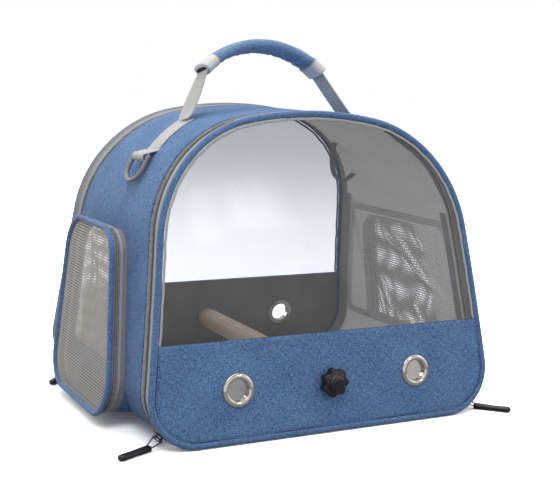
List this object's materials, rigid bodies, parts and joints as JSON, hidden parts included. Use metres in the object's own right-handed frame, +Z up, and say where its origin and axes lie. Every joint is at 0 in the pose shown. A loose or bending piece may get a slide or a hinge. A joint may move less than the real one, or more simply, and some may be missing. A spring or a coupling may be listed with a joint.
{
  "type": "bird travel carrier",
  "caption": "Soft arched travel carrier for a small bird: clear zip-round doors front and rear, a wooden perch screwed between them, net side pockets and a padded top handle.",
  "frame": {"origin": "centre of the base on the floor, midway between the two doors and between the two side walls", "axes": "X runs across the carrier to the right, the front door faces -Y, Z points up"},
  "size_m": [0.4632, 0.3611, 0.4024],
  "materials": {
    "board": "matte",
    "base_fabric": "coated weave",
    "blue_fabric": "melange weave",
    "lining": "plain weave",
    "dark_lining": "plain weave",
    "spring_steel": "plain",
    "zip_tape": "woven tape",
    "net": "knitted net",
    "binding": "ribbed tape",
    "pocket_fabric": "plain weave",
    "webbing": "ribbed webbing",
    "webbing_dark": "ribbed webbing",
    "slider_metal": "satin",
    "piping": "corded piping",
    "window_film": "soft clear film",
    "grommet_metal": "polished nickel",
    "perch_wood": "plain sanded",
    "stud_steel": "zinc",
    "knob_plastic": "satin",
    "insert_brass": "plain",
    "ring_plastic": "moulded",
    "foam": "foam",
    "tray_steel": "white enamel",
    "pull_rubber": "moulded"
  },
  "bodies": {
    "cabin": {"base_board": "board", "base_cover": "base_fabric", "left_panel": "blue_fabric", "right_panel": "blue_fabric", "roof_panel": "blue_fabric", "left_lining": "lining", "right_lining": "lining", "roof_lining": "lining", "spring_hoops": "spring_steel", "body_zip_tapes": "zip_tape", "left_cabin_net": "net", "right_cabin_net": "net", "cabin_net_bindings": "binding", "left_pocket_frame": "pocket_fabric", "right_pocket_frame": "pocket_fabric", "anchor_straps": "webbing", "toy_loop": "webbing_dark", "hinge_strips": "base_fabric", "door_sliders": "slider_metal"},
    "front_door": {"front_piping": "piping", "front_window": "window_film", "front_window_binding": "binding", "front_lower_panel": "blue_fabric", "front_board": "board", "front_lining": "dark_lining", "front_grommets": "grommet_metal", "front_door_zip": "zip_tape"},
    "rear_door": {"rear_piping": "piping", "rear_window": "window_film", "rear_window_binding": "binding", "rear_lower_panel": "blue_fabric", "rear_board": "board", "rear_lining": "dark_lining", "rear_grommets": "grommet_metal", "rear_door_zip": "zip_tape"},
    "perch": {"perch_dowel": "perch_wood", "perch_studs": "stud_steel"},
    "front_nut": {"front_knob": "knob_plastic", "front_knob_insert": "insert_brass"},
    "rear_nut": {"rear_knob": "knob_plastic", "rear_knob_insert": "insert_brass"},
    "left_flap": {"left_flap_net": "net", "left_flap_piping": "piping", "left_flap_side": "pocket_fabric"},
    "right_flap": {"right_flap_net": "net", "right_flap_piping": "piping", "right_flap_side": "pocket_fabric"},
    "left_ring": {"left_d_ring": "ring_plastic"},
    "right_ring": {"right_d_ring": "ring_plastic"},
    "handle": {"grip_wrap": "blue_fabric", "grip_core": "foam", "grip_end_covers": "webbing", "handle_straps": "webbing"},
    "steel_tray": {"tray": "tray_steel"},
    "front_left_tab": {"front_left_pull": "pull_rubber"},
    "front_right_tab": {"front_right_pull": "pull_rubber"},
    "rear_left_tab": {"rear_left_pull": "pull_rubber"},
    "rear_right_tab": {"rear_right_pull": "pull_rubber"},
    "left_slider": {"left_pocket_slider": "slider_metal"},
    "right_slider": {"right_pocket_slider": "slider_metal"}
  },
  "joints": [
    {"name": "front_door_swing", "type": "hinge", "parent": "cabin", "child": "front_door", "pos_m": [0, -0.1685, 0.0003], "axis": [1, 0, 0], "range_deg": [0, 70]},
    {"name": "rear_door_swing", "type": "hinge", "parent": "cabin", "child": "rear_door", "pos_m": [0, 0.1685, 0.0003], "axis": [-1, 0, 0], "range_deg": [0, 70]},
    {"name": "front_knob_turn", "type": "hinge", "parent": "front_door", "child": "front_nut", "pos_m": [0, -0.165, 0.054], "axis": [0, 1, 0], "continuous": true},
    {"name": "rear_knob_turn", "type": "hinge", "parent": "rear_door", "child": "rear_nut", "pos_m": [0, 0.165, 0.054], "axis": [0, 1, 0], "continuous": true},
    {"name": "perch_turn", "type": "hinge", "parent": "cabin", "child": "perch", "pos_m": [0, 0, 0.054], "axis": [0, 1, 0], "continuous": true},
    {"name": "left_flap_swing", "type": "hinge", "parent": "cabin", "child": "left_flap", "pos_m": [-0.20773, 0.0943, 0.05907], "axis": [0.1175, 0, 0.9931], "range_deg": [-90, 0]},
    {"name": "right_flap_swing", "type": "hinge", "parent": "cabin", "child": "right_flap", "pos_m": [0.20773, 0.0943, 0.05907], "axis": [-0.1175, 0, 0.9931], "range_deg": [0, 90]},
    {"name": "left_ring_swing", "type": "hinge", "parent": "cabin", "child": "left_ring", "pos_m": [-0.15963, -0.026, 0.27468], "axis": [0.1392, -0.9903, 0], "range_deg": [-100, 0]},
    {"name": "right_ring_swing", "type": "hinge", "parent": "cabin", "child": "right_ring", "pos_m": [0.15963, -0.026, 0.27468], "axis": [-0.1392, -0.9903, 0], "range_deg": [0, 100]},
    {"name": "handle_swing", "type": "hinge", "parent": "cabin", "child": "handle", "pos_m": [-0.006, -0.004, 0.31231], "axis": [1, 0, 0], "range_deg": [-43, 67]},
    {"name": "tray_lift", "type": "slide", "parent": "cabin", "child": "steel_tray", "axis": [0, 0, 1], "range_m": [0, 0.014]},
    {"name": "front_left_pull_flip", "type": "hinge", "parent": "cabin", "child": "front_left_tab", "pos_m": [-0.18297, -0.14502, 0.01033], "axis": [-0.2577, 0.9417, 0.2162], "range_deg": [0, 30]},
    {"name": "front_right_pull_flip", "type": "hinge", "parent": "cabin", "child": "front_right_tab", "pos_m": [0.18297, -0.14502, 0.01033], "axis": [-0.4658, -0.7938, -0.3909], "range_deg": [0, 30]},
    {"name": "rear_left_pull_flip", "type": "hinge", "parent": "cabin", "child": "rear_left_tab", "pos_m": [-0.18297, 0.14502, 0.01033], "axis": [-0.5165, 0.7385, 0.4334], "range_deg": [0, 30]},
    {"name": "rear_right_pull_flip", "type": "hinge", "parent": "cabin", "child": "rear_right_tab", "pos_m": [0.18297, 0.14502, 0.01033], "axis": [0.2577, -0.9417, 0.2162], "range_deg": [0, 30]},
    {"name": "left_pocket_slide", "type": "slide", "parent": "cabin", "child": "left_slider", "axis": [0, -1, 0], "range_m": [0, 0.1]},
    {"name": "right_pocket_slide", "type": "slide", "parent": "cabin", "child": "right_slider", "axis": [0, -1, 0], "range_m": [0, 0.1]}
  ]
}
